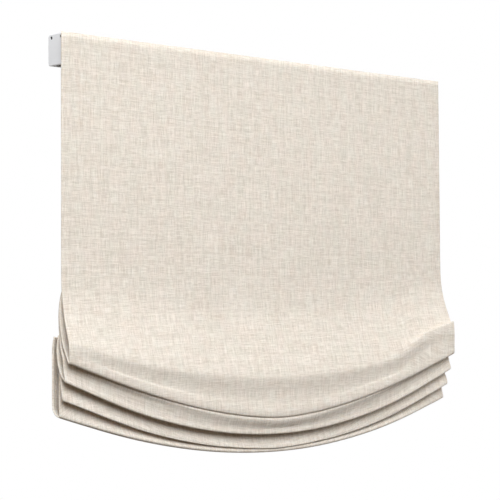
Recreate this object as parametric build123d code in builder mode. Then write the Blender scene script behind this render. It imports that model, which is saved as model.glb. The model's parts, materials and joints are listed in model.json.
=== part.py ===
"""A cordless roman blind, partly raised, hanging from its headrail by two wall brackets.

Millimetres. +X runs to the right along the rail, +Y into the wall and +Z up. The origin is the
centre of the four wall screws, on the wall.
"""

import os
from math import pi

from build123d import *

os.makedirs("parts", exist_ok=True)

# the cloth
cloth_width = 760.0
cloth_thickness = 1.0
panel_end_drop = 345.0  # flat cloth down to the folds, at its two edges
panel_mid_drop = 436.0  # and in the middle, where the folds hang lower
fold_gap = 0.3  # between the flat cloth and the folds
folds_width = 768.0  # the folds splay a little at their ends
folds_depth_behind = 22.0  # the rear of the folds, behind the flat cloth's face
# each fold, front to back: its face in front of the flat cloth, how much further its middle
# bellies out, and the drop of its bottom edge at the ends and in the middle
folds = [
    (24.0, 14.0, 449.0, 545.0),
    (16.0, 10.0, 477.0, 566.0),
    (7.0, 8.0, 502.0, 588.0),
    (-2.0, 6.0, 525.0, 593.0),
]

# the headrail, an open-bottomed extrusion
rail_depth = 35.0
rail_height = 44.0
rail_wall = 1.4
rail_rear_corner = 4.5
rail_front_corner = 1.2
wall_gap = 6.0  # from the wall to the back of the rail
track_depth = 4.6  # of the top track that the brackets hold, under its lips
track_floor = 1.2
track_slot = 11.4
track_slot_y = -25.5
port_boss_radius = 3.2
port_hole_radius = 1.3
port_drop = 5.2  # of the screw ports, below the rail's top
port_y = (-14.2, -36.8)
lip_rear = 6.4  # the lips beside the open bottom
lip_front = 2.2

# the end caps
cap_overhang = 3.0  # of the cloth past the caps
cap_thickness = 2.6
cap_spigot = 6.0
cap_rim_margin = 0.3  # between the cap's rim and the rail
cap_rim_wall = 1.6
cap_edge_round = 1.4
cap_boss_radius = 7.5
cap_boss_length = 8.0
screw_head_radius = 2.2
screw_head_height = 1.3
screw_recess = 1.8
screw_shank_radius = 1.25
screw_length = 12.0

# the wall brackets and their turn cams
bracket_x = 300.0
bracket_width = 34.0
bracket_plate = 2.0
bracket_leg = 1.5
bracket_reach = 36.0
bracket_drop = 20.0
wall_hole_spacing = 24.0
wall_hole_radius = 2.2
cam_length = 15.6
cam_width = 10.8
cam_height = 3.6
pivot_radius = 3.0
running_fit = 0.05
lever_thickness = 1.5
lever_width = 9.0
lever_length = 18.0

# the drive line: shaft, spools, brake and balance spring
shaft_y = -26.5
shaft_z = -3.6
shaft_across_flats = 6.0
shaft_half_length = 371.0
bush_radius = 5.5
bush_length = 6.0
cord_radius = 0.7
cord_x = 340.0
spool_radius = 9.0
spool_flange_radius = 12.4
spool_flange = 1.6
spool_inner_width = 22.8
spool_journal_radius = 5.0
spool_journal = 4.0
cord_clearance = 0.3
cradle_wall = 2.0
fitted_margin = 0.7  # between the rail and the blocks inside it
fitted_corner = 3.2
turns_width = 14.0
brake_x = -285.0
brake_length = 30.0
brake_drum_radius = 10.0
brake_drum_length = 22.0
spring_left = -99.7
spring_right = 40.0
spring_outer_radius = 8.8
spring_inner_radius = 7.2
spring_gap = 0.3  # at each end of the spring
plug_flange_radius = 9.5
plug_spigot_radius = 6.8
plug_flange = 4.0
plug_spigot = 10.0
anchor_length = 12.0

# the fastening strips on the rail's face
strip_thickness = 1.2
strip_height = 20.0
strip_drop = 6.0
strip_length = 740.0

# the rings that the lift cords run through, and the stop under each column
ring_radius = 5.6
ring_wire = 1.0
ring_tilt = 40.0
panel_ring_drop = 155.0
ring_drops = (350.0, 365.5, 381.0, 396.5, 412.0)
stop_radius = 4.0
stop_height = 8.0
well_radius = 9.5  # clear round the rings, through the folds

# places worked out from those sizes
rail_top = rail_height / 2
rail_bottom = -rail_top
rail_back = -wall_gap
rail_front = rail_back - rail_depth
cap_face = cloth_width / 2 - cap_overhang
rail_end = cap_face - cap_thickness
track_top = rail_top - rail_wall
track_bottom = track_top - track_depth
cavity_top = track_bottom - track_floor
cavity_bottom = rail_bottom + rail_wall
cloth_back = rail_front - 2 * strip_thickness
cloth_face = cloth_back - cloth_thickness
cloth_top = rail_top
port_z = rail_top - port_drop
cord_y = shaft_y - spool_radius - cord_radius - cord_clearance
last_ring_drop = ring_drops[-1]
stop_top = cloth_top - last_ring_drop - ring_radius
spool_width = spool_inner_width + 2 * spool_flange
spool_x = cord_x - spool_inner_width / 2 + 7.4
fitted_bottom = cavity_bottom + 0.2
fitted_top = port_z - port_boss_radius - 0.4


def yz_rectangle(y_low, y_high, z_low, z_high, mode=Mode.ADD):
    """A rectangle in the rail's section, given by its limits."""
    with Locations(((y_low + y_high) / 2, (z_low + z_high) / 2)):
        Rectangle(y_high - y_low, z_high - z_low, mode=mode)


def fitted_block(margin, wall=None):
    """The section of a piece that fills the rail's hollow, or only its wall, with rounded corners."""
    y_low = rail_front + rail_wall + margin
    y_high = rail_back - rail_wall - margin
    width = y_high - y_low
    height = fitted_top - fitted_bottom
    with Locations(((y_low + y_high) / 2, (fitted_top + fitted_bottom) / 2)):
        RectangleRounded(width, height, fitted_corner)
        if wall:
            RectangleRounded(
                width - 2 * wall, height - 2 * wall, fitted_corner - wall, mode=Mode.SUBTRACT
            )


def rail_outline(inset):
    """The rail's outer outline, or one inside it by the inset, with rounder rear corners."""
    with BuildSketch() as outline:
        yz_rectangle(rail_front + inset, rail_back - inset, rail_bottom + inset, rail_top - inset)
        rear = outline.vertices().group_by(Axis.X)[-1]
        fillet(rear, radius=rail_rear_corner - inset)
        front = outline.vertices().group_by(Axis.X)[0]
        fillet(front, radius=max(rail_front_corner - inset, 0.2))
    return outline.sketch


# ---- headrail ----

with BuildPart() as headrail:
    with BuildSketch(Plane.YZ):
        add(rail_outline(0))
        add(rail_outline(rail_wall), mode=Mode.SUBTRACT)
        yz_rectangle(rail_front + rail_wall, rail_back - rail_wall, cavity_top, track_bottom)
        with Locations(*[(y, port_z) for y in port_y]):
            Circle(port_boss_radius)
            Circle(port_hole_radius, mode=Mode.SUBTRACT)
        half_slot = track_slot / 2
        yz_rectangle(
            track_slot_y - half_slot, track_slot_y + half_slot, track_top, rail_top, mode=Mode.SUBTRACT
        )
        yz_rectangle(
            rail_front + lip_front, rail_back - lip_rear, rail_bottom, cavity_bottom, mode=Mode.SUBTRACT
        )
    extrude(amount=rail_end, both=True)
headrail.part.label = "headrail"
export_step(headrail.part, "parts/headrail.step")


# ---- end caps, their screws and the shaft's bushes ----

with BuildPart() as end_cap_right:
    with BuildSketch(Plane.YZ.offset(rail_end)):
        add(rail_outline(0))
    extrude(amount=cap_thickness)
    fillet(end_cap_right.faces().sort_by(Axis.X)[-1].edges(), radius=cap_edge_round)
    # a rim that fits inside the rail, below its screw ports
    with BuildSketch(Plane.YZ.offset(rail_end)):
        fitted_block(cap_rim_margin, cap_rim_wall)
    extrude(amount=-cap_spigot)
    with BuildSketch(Plane.YZ.offset(rail_end)):
        with Locations((shaft_y, shaft_z)):
            Circle(cap_boss_radius)
            Circle(bush_radius, mode=Mode.SUBTRACT)
    extrude(amount=-cap_boss_length)
    with BuildSketch(Plane.YZ.offset(cap_face)):
        with Locations(*[(y, port_z) for y in port_y]):
            Circle(screw_head_radius + 0.2)
    extrude(amount=-screw_recess, mode=Mode.SUBTRACT)
    with BuildSketch(Plane.YZ.offset(cap_face)):
        with Locations(*[(y, port_z) for y in port_y]):
            Circle(screw_shank_radius + 0.35)
    extrude(amount=-cap_thickness, mode=Mode.SUBTRACT)
end_cap_right.part.label = "end_cap_right"
export_step(end_cap_right.part, "parts/end_cap_right.step")

with BuildPart() as end_cap_left:
    mirror(end_cap_right.part, about=Plane.YZ)
end_cap_left.part.label = "end_cap_left"
export_step(end_cap_left.part, "parts/end_cap_left.step")

head_seat = cap_face - screw_recess
with BuildPart() as cap_screws_right:
    with BuildSketch(Plane.YZ.offset(head_seat)):
        with Locations(*[(y, port_z) for y in port_y]):
            Circle(screw_head_radius)
    extrude(amount=screw_head_height)
    fillet(
        cap_screws_right.edges().filter_by(GeomType.CIRCLE).group_by(Axis.X)[-1], radius=0.4
    )
    # a cross recess in each head
    with BuildSketch(Plane.YZ.offset(head_seat + screw_head_height)):
        with Locations(*[(y, port_z) for y in port_y]):
            Rectangle(2.4, 0.6)
            Rectangle(0.6, 2.4)
    extrude(amount=-0.8, mode=Mode.SUBTRACT)
    with BuildSketch(Plane.YZ.offset(head_seat)):
        with Locations(*[(y, port_z) for y in port_y]):
            Circle(screw_shank_radius)
    extrude(amount=-screw_length)
    chamfer(
        cap_screws_right.edges().filter_by(GeomType.CIRCLE).group_by(Axis.X)[0], length=0.6
    )
cap_screws_right.part.label = "cap_screws_right"
export_step(cap_screws_right.part, "parts/cap_screws_right.step")

with BuildPart() as cap_screws_left:
    mirror(cap_screws_right.part, about=Plane.YZ)
cap_screws_left.part.label = "cap_screws_left"
export_step(cap_screws_left.part, "parts/cap_screws_left.step")

shaft_corner = shaft_across_flats / 2 / 0.8660254
bush_left_end = rail_end - cap_boss_length
with BuildPart() as shaft_bush_right:
    with BuildSketch(Plane.YZ.offset(bush_left_end)):
        with Locations((shaft_y, shaft_z)):
            Circle(bush_radius)
    extrude(amount=bush_length)
    with BuildSketch(Plane.YZ.offset(bush_left_end)):
        with Locations((shaft_y, shaft_z)):
            Circle(cap_boss_radius - 0.6)
    extrude(amount=-1.2)
    with BuildSketch(Plane.YZ.offset(bush_left_end - 1.2)):
        with Locations((shaft_y, shaft_z)):
            Circle(shaft_corner + running_fit)
    extrude(amount=bush_length + 1.2, mode=Mode.SUBTRACT)
shaft_bush_right.part.label = "shaft_bush_right"
export_step(shaft_bush_right.part, "parts/shaft_bush_right.step")

with BuildPart() as shaft_bush_left:
    mirror(shaft_bush_right.part, about=Plane.YZ)
shaft_bush_left.part.label = "shaft_bush_left"
export_step(shaft_bush_left.part, "parts/shaft_bush_left.step")


# ---- wall brackets ----

leg_bottom = rail_top + 0.2
leg_top = leg_bottom + bracket_leg
with BuildPart() as bracket_right:
    with BuildSketch(Plane.YZ.offset(bracket_x - bracket_width / 2)) as profile:
        yz_rectangle(-bracket_plate, 0, -bracket_drop, leg_top)
        yz_rectangle(-bracket_reach, 0, leg_bottom, leg_top)
        bend = profile.vertices().group_by(Axis.Y)[-1].sort_by(Axis.X)[-1]
        fillet(bend, radius=2.5)
    extrude(amount=bracket_width)
    fillet(bracket_right.edges().filter_by(Axis.Z).group_by(Axis.Y)[0], radius=6)
    fillet(bracket_right.edges().filter_by(Axis.Y).group_by(Axis.Z)[0], radius=4)
    with Locations((bracket_x, track_slot_y, leg_top)):
        Hole(pivot_radius + running_fit, depth=bracket_leg)
    with Locations(Plane.XZ):
        with Locations(*[(bracket_x, z) for z in (-wall_hole_spacing / 2, wall_hole_spacing / 2)]):
            Cylinder(wall_hole_radius, 4 * bracket_plate, mode=Mode.SUBTRACT)
bracket_right.part.label = "bracket_right"
export_step(bracket_right.part, "parts/bracket_right.step")

with BuildPart() as bracket_left:
    mirror(bracket_right.part, about=Plane.YZ)
bracket_left.part.label = "bracket_left"
export_step(bracket_left.part, "parts/bracket_left.step")

# the cam's foot holds the rail by the lips of its top track, and its post turns in the bracket
cam_top = track_top - 0.4
lever_bottom = leg_top + 0.2
lever_top = lever_bottom + lever_thickness
with BuildPart() as bracket_cam_right:
    with BuildSketch(Plane.XY.offset(cam_top - cam_height)):
        with Locations((bracket_x, track_slot_y)):
            Rectangle(cam_width, cam_length)
            Circle(cam_length / 2, mode=Mode.INTERSECT)
    extrude(amount=cam_height)
    with BuildSketch(Plane.XY.offset(cam_top)):
        with Locations((bracket_x, track_slot_y)):
            Circle(pivot_radius)
    extrude(amount=lever_top - cam_top)
bracket_cam_right.part.label = "bracket_cam_right"
export_step(bracket_cam_right.part, "parts/bracket_cam_right.step")

with BuildPart() as bracket_cam_left:
    mirror(bracket_cam_right.part, about=Plane.YZ)
bracket_cam_left.part.label = "bracket_cam_left"
export_step(bracket_cam_left.part, "parts/bracket_cam_left.step")

with BuildPart() as cam_lever_right:
    with BuildSketch(Plane.XY.offset(lever_bottom)):
        with Locations((bracket_x, track_slot_y)):
            Circle(lever_width / 2 + 0.8)
        with Locations((bracket_x - lever_length / 2, track_slot_y)):
            SlotOverall(lever_length, lever_width - 1)
        with Locations((bracket_x, track_slot_y)):
            Circle(pivot_radius, mode=Mode.SUBTRACT)
    extrude(amount=lever_thickness)
cam_lever_right.part.label = "cam_lever_right"
export_step(cam_lever_right.part, "parts/cam_lever_right.step")

with BuildPart() as cam_lever_left:
    mirror(cam_lever_right.part, about=Plane.YZ)
cam_lever_left.part.label = "cam_lever_left"
export_step(cam_lever_left.part, "parts/cam_lever_left.step")


# ---- fastening strips ----

strip_z = rail_top - strip_drop - strip_height / 2
with BuildPart() as hook_strip:
    with Locations((0, rail_front - strip_thickness / 2, strip_z)):
        Box(strip_length, strip_thickness, strip_height)
    fillet(hook_strip.edges().filter_by(Axis.Y), radius=3)
hook_strip.part.label = "hook_strip"
export_step(hook_strip.part, "parts/hook_strip.step")

with BuildPart() as loop_strip:
    with Locations((0, rail_front - 1.5 * strip_thickness, strip_z)):
        Box(strip_length, strip_thickness, strip_height)
    fillet(loop_strip.edges().filter_by(Axis.Y), radius=3)
loop_strip.part.label = "loop_strip"
export_step(loop_strip.part, "parts/loop_strip.step")


# ---- drive line ----

with BuildPart() as drive_shaft:
    with BuildSketch(Plane.YZ):
        with Locations((shaft_y, shaft_z)):
            RegularPolygon(shaft_across_flats / 2, 6, major_radius=False)
    extrude(amount=shaft_half_length, both=True)
    chamfer(drive_shaft.faces().filter_by(Axis.X).edges(), length=0.5)
drive_shaft.part.label = "drive_shaft"
export_step(drive_shaft.part, "parts/drive_shaft.step")


def turned(x_start, steps):
    """Discs on the shaft's line, each (radius, length), one after another towards +X."""
    x = x_start
    for radius, length in steps:
        with BuildSketch(Plane.YZ.offset(x)) as disc:
            with Locations((shaft_y, shaft_z)):
                Circle(radius)
        extrude(disc.sketch, amount=length)
        x += length


def hex_bore(x_start, length):
    """The six-sided hole that the shaft drives a piece by."""
    with BuildSketch(Plane.YZ.offset(x_start)) as bore:
        with Locations((shaft_y, shaft_z)):
            RegularPolygon(shaft_across_flats / 2 + running_fit, 6, major_radius=False)
    extrude(bore.sketch, amount=length, mode=Mode.SUBTRACT)


spool_start = spool_x - spool_width / 2 - spool_journal
with BuildPart() as cord_spool_right:
    turned(
        spool_start,
        [
            (spool_journal_radius, spool_journal),
            (spool_flange_radius, spool_flange),
            (spool_radius, spool_inner_width),
            (spool_flange_radius, spool_flange),
            (spool_journal_radius, spool_journal),
        ],
    )
    hex_bore(spool_start, spool_width + 2 * spool_journal)
cord_spool_right.part.label = "cord_spool_right"
export_step(cord_spool_right.part, "parts/cord_spool_right.step")

with BuildPart() as cord_spool_left:
    mirror(cord_spool_right.part, about=Plane.YZ)
cord_spool_left.part.label = "cord_spool_left"
export_step(cord_spool_left.part, "parts/cord_spool_left.step")

# the cord already wound on, one layer of turns beside the turn that is leaving the spool
turns_end = cord_x - cord_radius - cord_clearance
with BuildPart() as cord_turns_right:
    with BuildSketch(Plane.YZ.offset(turns_end - turns_width)):
        with Locations((shaft_y, shaft_z)):
            Circle(spool_radius + 2 * cord_radius)
            Circle(spool_radius, mode=Mode.SUBTRACT)
    extrude(amount=turns_width)
cord_turns_right.part.label = "cord_turns_right"
export_step(cord_turns_right.part, "parts/cord_turns_right.step")

with BuildPart() as cord_turns_left:
    mirror(cord_turns_right.part, about=Plane.YZ)
cord_turns_left.part.label = "cord_turns_left"
export_step(cord_turns_left.part, "parts/cord_turns_left.step")

cradle_inner = spool_width / 2 + 0.6
with BuildPart() as spool_cradle_right:
    with BuildSketch(Plane.YZ.offset(spool_x - cradle_inner - cradle_wall)):
        fitted_block(fitted_margin)
    extrude(amount=2 * (cradle_inner + cradle_wall))
    # the room for the spool, open above and at both sides
    with BuildSketch(Plane.YZ.offset(spool_x - cradle_inner)):
        yz_rectangle(rail_front, rail_back, fitted_bottom + cradle_wall, fitted_top)
    extrude(amount=2 * cradle_inner, mode=Mode.SUBTRACT)
    with BuildSketch(Plane.YZ.offset(spool_x - cradle_inner - cradle_wall)):
        with Locations((shaft_y, shaft_z)):
            Circle(spool_journal_radius + running_fit)
    extrude(amount=2 * (cradle_inner + cradle_wall), mode=Mode.SUBTRACT)
    # the slot that the cord leaves by, long enough for it to travel along the spool
    with BuildSketch(Plane.XY.offset(fitted_bottom)):
        with Locations((spool_x, cord_y)):
            Rectangle(spool_inner_width, 3.4)
    extrude(amount=cradle_wall, mode=Mode.SUBTRACT)
spool_cradle_right.part.label = "spool_cradle_right"
export_step(spool_cradle_right.part, "parts/spool_cradle_right.step")

with BuildPart() as spool_cradle_left:
    mirror(spool_cradle_right.part, about=Plane.YZ)
spool_cradle_left.part.label = "spool_cradle_left"
export_step(spool_cradle_left.part, "parts/spool_cradle_left.step")

shaft_clear_radius = shaft_corner + 0.5
with BuildPart() as brake_housing:
    with BuildSketch(Plane.YZ.offset(brake_x - brake_length / 2)):
        fitted_block(fitted_margin)
    extrude(amount=brake_length)
    with BuildSketch(Plane.YZ.offset(brake_x - brake_length / 2)):
        with Locations((shaft_y, shaft_z)):
            Circle(shaft_clear_radius)
    extrude(amount=brake_length, mode=Mode.SUBTRACT)
    with BuildSketch(Plane.YZ.offset(brake_x - brake_length / 2 + 3)):
        with Locations((shaft_y, shaft_z)):
            Circle(brake_drum_radius + 0.3)
    extrude(amount=brake_length, mode=Mode.SUBTRACT)
brake_housing.part.label = "brake_housing"
export_step(brake_housing.part, "parts/brake_housing.step")

brake_drum_start = brake_x - brake_length / 2 + 4
with BuildPart() as brake_drum:
    turned(brake_drum_start, [(brake_drum_radius, brake_drum_length)])
    fillet(brake_drum.edges().filter_by(GeomType.CIRCLE), radius=0.6)
    hex_bore(brake_drum_start, brake_drum_length)
brake_drum.part.label = "brake_drum"
export_step(brake_drum.part, "parts/brake_drum.step")

with BuildPart() as spring_anchor:
    with BuildSketch(Plane.YZ.offset(spring_right + spring_gap)):
        fitted_block(fitted_margin)
    extrude(amount=anchor_length)
    turned(spring_right + spring_gap - plug_spigot, [(plug_spigot_radius, plug_spigot)])
    with BuildSketch(Plane.YZ.offset(spring_right - 2 * plug_spigot)):
        with Locations((shaft_y, shaft_z)):
            Circle(shaft_clear_radius)
    extrude(amount=4 * plug_spigot, mode=Mode.SUBTRACT)
spring_anchor.part.label = "spring_anchor"
export_step(spring_anchor.part, "parts/spring_anchor.step")

plug_start = spring_left - spring_gap - plug_flange
with BuildPart() as spring_plug:
    turned(plug_start, [(plug_flange_radius, plug_flange), (plug_spigot_radius, plug_spigot)])
    hex_bore(plug_start, plug_flange + plug_spigot)
spring_plug.part.label = "spring_plug"
export_step(spring_plug.part, "parts/spring_plug.step")

# the balance spring, a close-wound torsion coil round the shaft, as the tube that it fills
with BuildPart() as balance_spring:
    with BuildSketch(Plane.YZ.offset(spring_left)):
        with Locations((shaft_y, shaft_z)):
            Circle(spring_outer_radius)
            Circle(spring_inner_radius, mode=Mode.SUBTRACT)
    extrude(amount=spring_right - spring_left)
balance_spring.part.label = "balance_spring"
export_step(balance_spring.part, "parts/balance_spring.step")


# ---- lift cords, rings and cord stops ----

with BuildPart() as lift_cord_right:
    with BuildSketch(Plane.XY.offset(stop_top + cord_clearance)):
        with Locations((cord_x, cord_y)):
            Circle(cord_radius)
    extrude(amount=shaft_z - stop_top - cord_clearance)
lift_cord_right.part.label = "lift_cord_right"
export_step(lift_cord_right.part, "parts/lift_cord_right.step")

with BuildPart() as lift_cord_left:
    mirror(lift_cord_right.part, about=Plane.YZ)
lift_cord_left.part.label = "lift_cord_left"
export_step(lift_cord_left.part, "parts/lift_cord_left.step")

with BuildPart() as lift_rings_right:
    for drop in ring_drops:
        with Locations(Location((cord_x, cord_y, cloth_top - drop), (ring_tilt, 0, 0))):
            Torus(ring_radius, ring_wire)
lift_rings_right.part.label = "lift_rings_right"
export_step(lift_rings_right.part, "parts/lift_rings_right.step")

with BuildPart() as lift_rings_left:
    mirror(lift_rings_right.part, about=Plane.YZ)
lift_rings_left.part.label = "lift_rings_left"
export_step(lift_rings_left.part, "parts/lift_rings_left.step")

panel_ring_y = cloth_back + ring_radius + ring_wire + 0.3
with BuildPart() as panel_rings:
    with Locations(*[(x, panel_ring_y, cloth_top - panel_ring_drop) for x in (-cord_x, cord_x)]):
        Torus(ring_radius, ring_wire)
panel_rings.part.label = "panel_rings"
export_step(panel_rings.part, "parts/panel_rings.step")

with BuildPart() as cord_stop_right:
    with BuildSketch(Plane.XY.offset(stop_top)):
        with Locations((cord_x, cord_y)):
            Circle(stop_radius)
    extrude(amount=-stop_height)
    fillet(cord_stop_right.edges().filter_by(GeomType.CIRCLE), radius=2.4)
cord_stop_right.part.label = "cord_stop_right"
export_step(cord_stop_right.part, "parts/cord_stop_right.step")

with BuildPart() as cord_stop_left:
    mirror(cord_stop_right.part, about=Plane.YZ)
cord_stop_left.part.label = "cord_stop_left"
export_step(cord_stop_left.part, "parts/cord_stop_left.step")


# ---- cloth ----


def swag_outline(half_width, top_end, top_mid, bottom_end, bottom_mid):
    """A front outline between two sagging arcs, each given by its height at the ends and middle."""
    with BuildLine() as outline:
        ThreePointArc((-half_width, bottom_end), (0, bottom_mid), (half_width, bottom_end))
        Line((half_width, bottom_end), (half_width, top_end))
        ThreePointArc((half_width, top_end), (0, top_mid), (-half_width, top_end))
        Line((-half_width, top_end), (-half_width, bottom_end))
    make_face(outline.edges())


with BuildPart() as cloth_panel:
    with BuildSketch(Plane.XZ.offset(-cloth_back)):
        with BuildLine():
            half_width = cloth_width / 2
            edge_z = cloth_top - panel_end_drop
            middle_z = cloth_top - panel_mid_drop
            ThreePointArc((-half_width, edge_z), (0, middle_z), (half_width, edge_z))
            Polyline(
                (half_width, edge_z),
                (half_width, cloth_top),
                (-half_width, cloth_top),
                (-half_width, edge_z),
            )
        make_face()
    extrude(amount=cloth_thickness)
cloth_panel.part.label = "cloth_panel"
export_step(cloth_panel.part, "parts/cloth_panel.step")

folds_back = cloth_face + folds_depth_behind
with BuildPart() as cloth_folds:
    for forward, belly, end_drop, mid_drop in folds:
        with BuildPart(mode=Mode.PRIVATE) as layer:
            with BuildSketch(Plane.XZ.offset(-folds_back)):
                swag_outline(
                    folds_width / 2,
                    cloth_top - panel_end_drop - fold_gap,
                    cloth_top - panel_mid_drop - fold_gap,
                    cloth_top - end_drop,
                    cloth_top - mid_drop,
                )
            extrude(amount=forward + belly + folds_depth_behind)
            with BuildSketch(Plane.XY.offset(cloth_top - mid_drop)):
                with BuildLine():
                    end_y = cloth_face - forward
                    corner = folds_width / 2
                    ThreePointArc((-corner, end_y), (0, end_y - belly), (corner, end_y))
                    Polyline(
                        (corner, end_y), (corner, folds_back), (-corner, folds_back), (-corner, end_y)
                    )
                make_face()
            extrude(amount=mid_drop, mode=Mode.INTERSECT)
        add(layer.part)
    # the rings, the cord stops and the ends of the cords have room to hang clear
    well_bottom = stop_top - stop_height - 4
    for x in (-cord_x, cord_x):
        with Locations((x, cord_y, (well_bottom + cloth_top) / 2)):
            Cylinder(well_radius, cloth_top - well_bottom, mode=Mode.SUBTRACT)
cloth_folds.part.label = "cloth_folds"
export_step(cloth_folds.part, "parts/cloth_folds.step")

print("cord wound or paid out per turn of the shaft, mm:", round(2 * pi * (shaft_y - cord_y), 2))
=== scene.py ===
import bpy, json, math
import numpy as np
from mathutils import Matrix, Vector


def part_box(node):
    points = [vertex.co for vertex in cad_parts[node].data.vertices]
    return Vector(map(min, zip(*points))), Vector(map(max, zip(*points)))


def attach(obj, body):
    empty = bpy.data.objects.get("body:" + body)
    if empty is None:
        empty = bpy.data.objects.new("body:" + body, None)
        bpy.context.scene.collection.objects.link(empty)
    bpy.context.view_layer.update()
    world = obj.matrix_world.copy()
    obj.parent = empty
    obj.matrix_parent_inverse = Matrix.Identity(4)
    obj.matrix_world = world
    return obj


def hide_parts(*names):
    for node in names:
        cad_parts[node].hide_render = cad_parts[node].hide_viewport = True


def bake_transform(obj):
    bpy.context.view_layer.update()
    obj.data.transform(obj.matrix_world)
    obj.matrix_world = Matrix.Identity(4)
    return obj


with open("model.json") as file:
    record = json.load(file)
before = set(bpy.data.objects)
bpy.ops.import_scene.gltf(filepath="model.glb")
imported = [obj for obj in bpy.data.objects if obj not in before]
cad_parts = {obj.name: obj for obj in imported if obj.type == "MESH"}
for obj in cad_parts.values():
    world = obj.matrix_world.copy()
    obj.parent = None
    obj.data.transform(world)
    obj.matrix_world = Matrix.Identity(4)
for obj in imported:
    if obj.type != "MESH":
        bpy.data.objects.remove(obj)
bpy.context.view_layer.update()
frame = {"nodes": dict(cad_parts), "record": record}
nodes = frame["nodes"]
mm = 0.001

# node helpers

def addNode(tree, kind, inputs=None, **settings):
    node = tree.nodes.new("ShaderNode" + kind)
    for name, value in settings.items():
        setattr(node, name, value)
    for name, value in (inputs or {}).items():
        plug(tree, node, name, value)
    return node


def plug(tree, node, name, value):
    if isinstance(value, bpy.types.NodeSocket):
        tree.links.new(value, node.inputs[name])
    else:
        node.inputs[name].default_value = value


def calc(tree, operation, first, second=None, third=None):
    node = addNode(tree, "Math", operation=operation)
    for place, value in enumerate((first, second, third)):
        if value is not None:
            plug(tree, node, place, value)
    return node.outputs[0]


def stretched(tree, vector, scale):
    return addNode(tree, "Mapping", {"Vector": vector, "Scale": scale}).outputs[0]


def noise(tree, vector, detail=2.0, roughness=0.5):
    inputs = {"Vector": vector, "Scale": 1.0, "Detail": detail, "Roughness": roughness}
    return addNode(tree, "TexNoise", inputs).outputs["Fac"]


def mixColour(tree, factor, first, second):
    node = addNode(tree, "Mix", data_type="RGBA", blend_type="MIX")
    plug(tree, node, 0, factor)
    plug(tree, node, 6, first)
    plug(tree, node, 7, second)
    return node.outputs[2]


def spread(tree, value, low, high, toLow, toHigh):
    names = ("Value", "From Min", "From Max", "To Min", "To Max")
    return addNode(tree, "MapRange", dict(zip(names, (value, low, high, toLow, toHigh)))).outputs[0]


def newGroup(name, inputs, outputs):
    group = bpy.data.node_groups.new(name, "ShaderNodeTree")
    for title, kind, value in inputs:
        socket = group.interface.new_socket(title, in_out="INPUT", socket_type="NodeSocket" + kind)
        if value is not None:
            socket.default_value = value
    for title, kind in outputs:
        group.interface.new_socket(title, in_out="OUTPUT", socket_type="NodeSocket" + kind)
    return group, group.nodes.new("NodeGroupInput").outputs, group.nodes.new("NodeGroupOutput")


def useGroup(tree, group, inputs):
    node = addNode(tree, "Group", node_tree=group)
    for name, value in inputs.items():
        plug(tree, node, name, value)
    return node.outputs


def newMaterial(name, colour, roughness, **sockets):
    material = bpy.data.materials.new(name)
    material.use_nodes = True
    material.diffuse_color = (*colour, 1)
    shader = material.node_tree.nodes["Principled BSDF"]
    shader.inputs["Base Color"].default_value = (*colour, 1)
    shader.inputs["Roughness"].default_value = roughness
    for title, value in sockets.items():
        shader.inputs[title.replace("_", " ")].default_value = value
    return material, material.node_tree, shader

# shared effects

# how stretched each layer of slubs is, and how much it counts
weaveStreaks = (
    ((260, 12, 1), 0.45),
    ((12, 260, 1), 0.45),
    ((950, 60, 1), 1.0),
    ((60, 950, 1), 1.0),
    ((800, 800, 1), 0.5),
)


def buildWeave():
    # plain weave of uneven yarns: their height, how pale each yarn is, and dark flecks
    tree, put, out = newGroup(
        "unevenWeave",
        [("Place", "Vector", None), ("Yarn Pitch", "Float", 0.0009), ("Wander", "Float", 0.25)],
        [("Height", "Float"), ("Shade", "Float"), ("Fleck", "Float")],
    )
    place = put["Place"]
    wander = noise(tree, stretched(tree, place, (90, 90, 90)), detail=1)
    offset = calc(tree, "MULTIPLY", calc(tree, "SUBTRACT", wander, 0.5), put["Wander"])
    flat = addNode(tree, "SeparateXYZ", {"Vector": place}).outputs
    across = calc(tree, "ADD", calc(tree, "DIVIDE", flat[0], put["Yarn Pitch"]), offset)
    along = calc(tree, "ADD", calc(tree, "DIVIDE", flat[1], put["Yarn Pitch"]), offset)
    heights = []
    for one, other, sign in ((across, along, 0.5), (along, across, -0.5)):
        ridge = calc(tree, "ABSOLUTE", calc(tree, "SINE", calc(tree, "MULTIPLY", one, math.pi)))
        turn = calc(tree, "MULTIPLY", calc(tree, "ADD", other, calc(tree, "FLOOR", one)), math.pi)
        over = calc(tree, "MULTIPLY_ADD", calc(tree, "COSINE", turn), sign, 0.5)
        heights.append(calc(tree, "MULTIPLY", ridge, over))
    height = calc(tree, "MAXIMUM", *heights)
    shade = 0.5
    for scale, weight in weaveStreaks:
        slub = calc(tree, "SUBTRACT", noise(tree, stretched(tree, place, scale), detail=1.5), 0.5)
        shade = calc(tree, "MULTIPLY_ADD", slub, weight, shade)
    fleck = noise(tree, stretched(tree, place, (260, 900, 1)), detail=1)
    tree.links.new(calc(tree, "ADD", height, calc(tree, "MULTIPLY", shade, 0.8)), out.inputs["Height"])
    tree.links.new(shade, out.inputs["Shade"])
    tree.links.new(spread(tree, fleck, 0.66, 0.74, 0, 1), out.inputs["Fleck"])
    return tree


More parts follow.
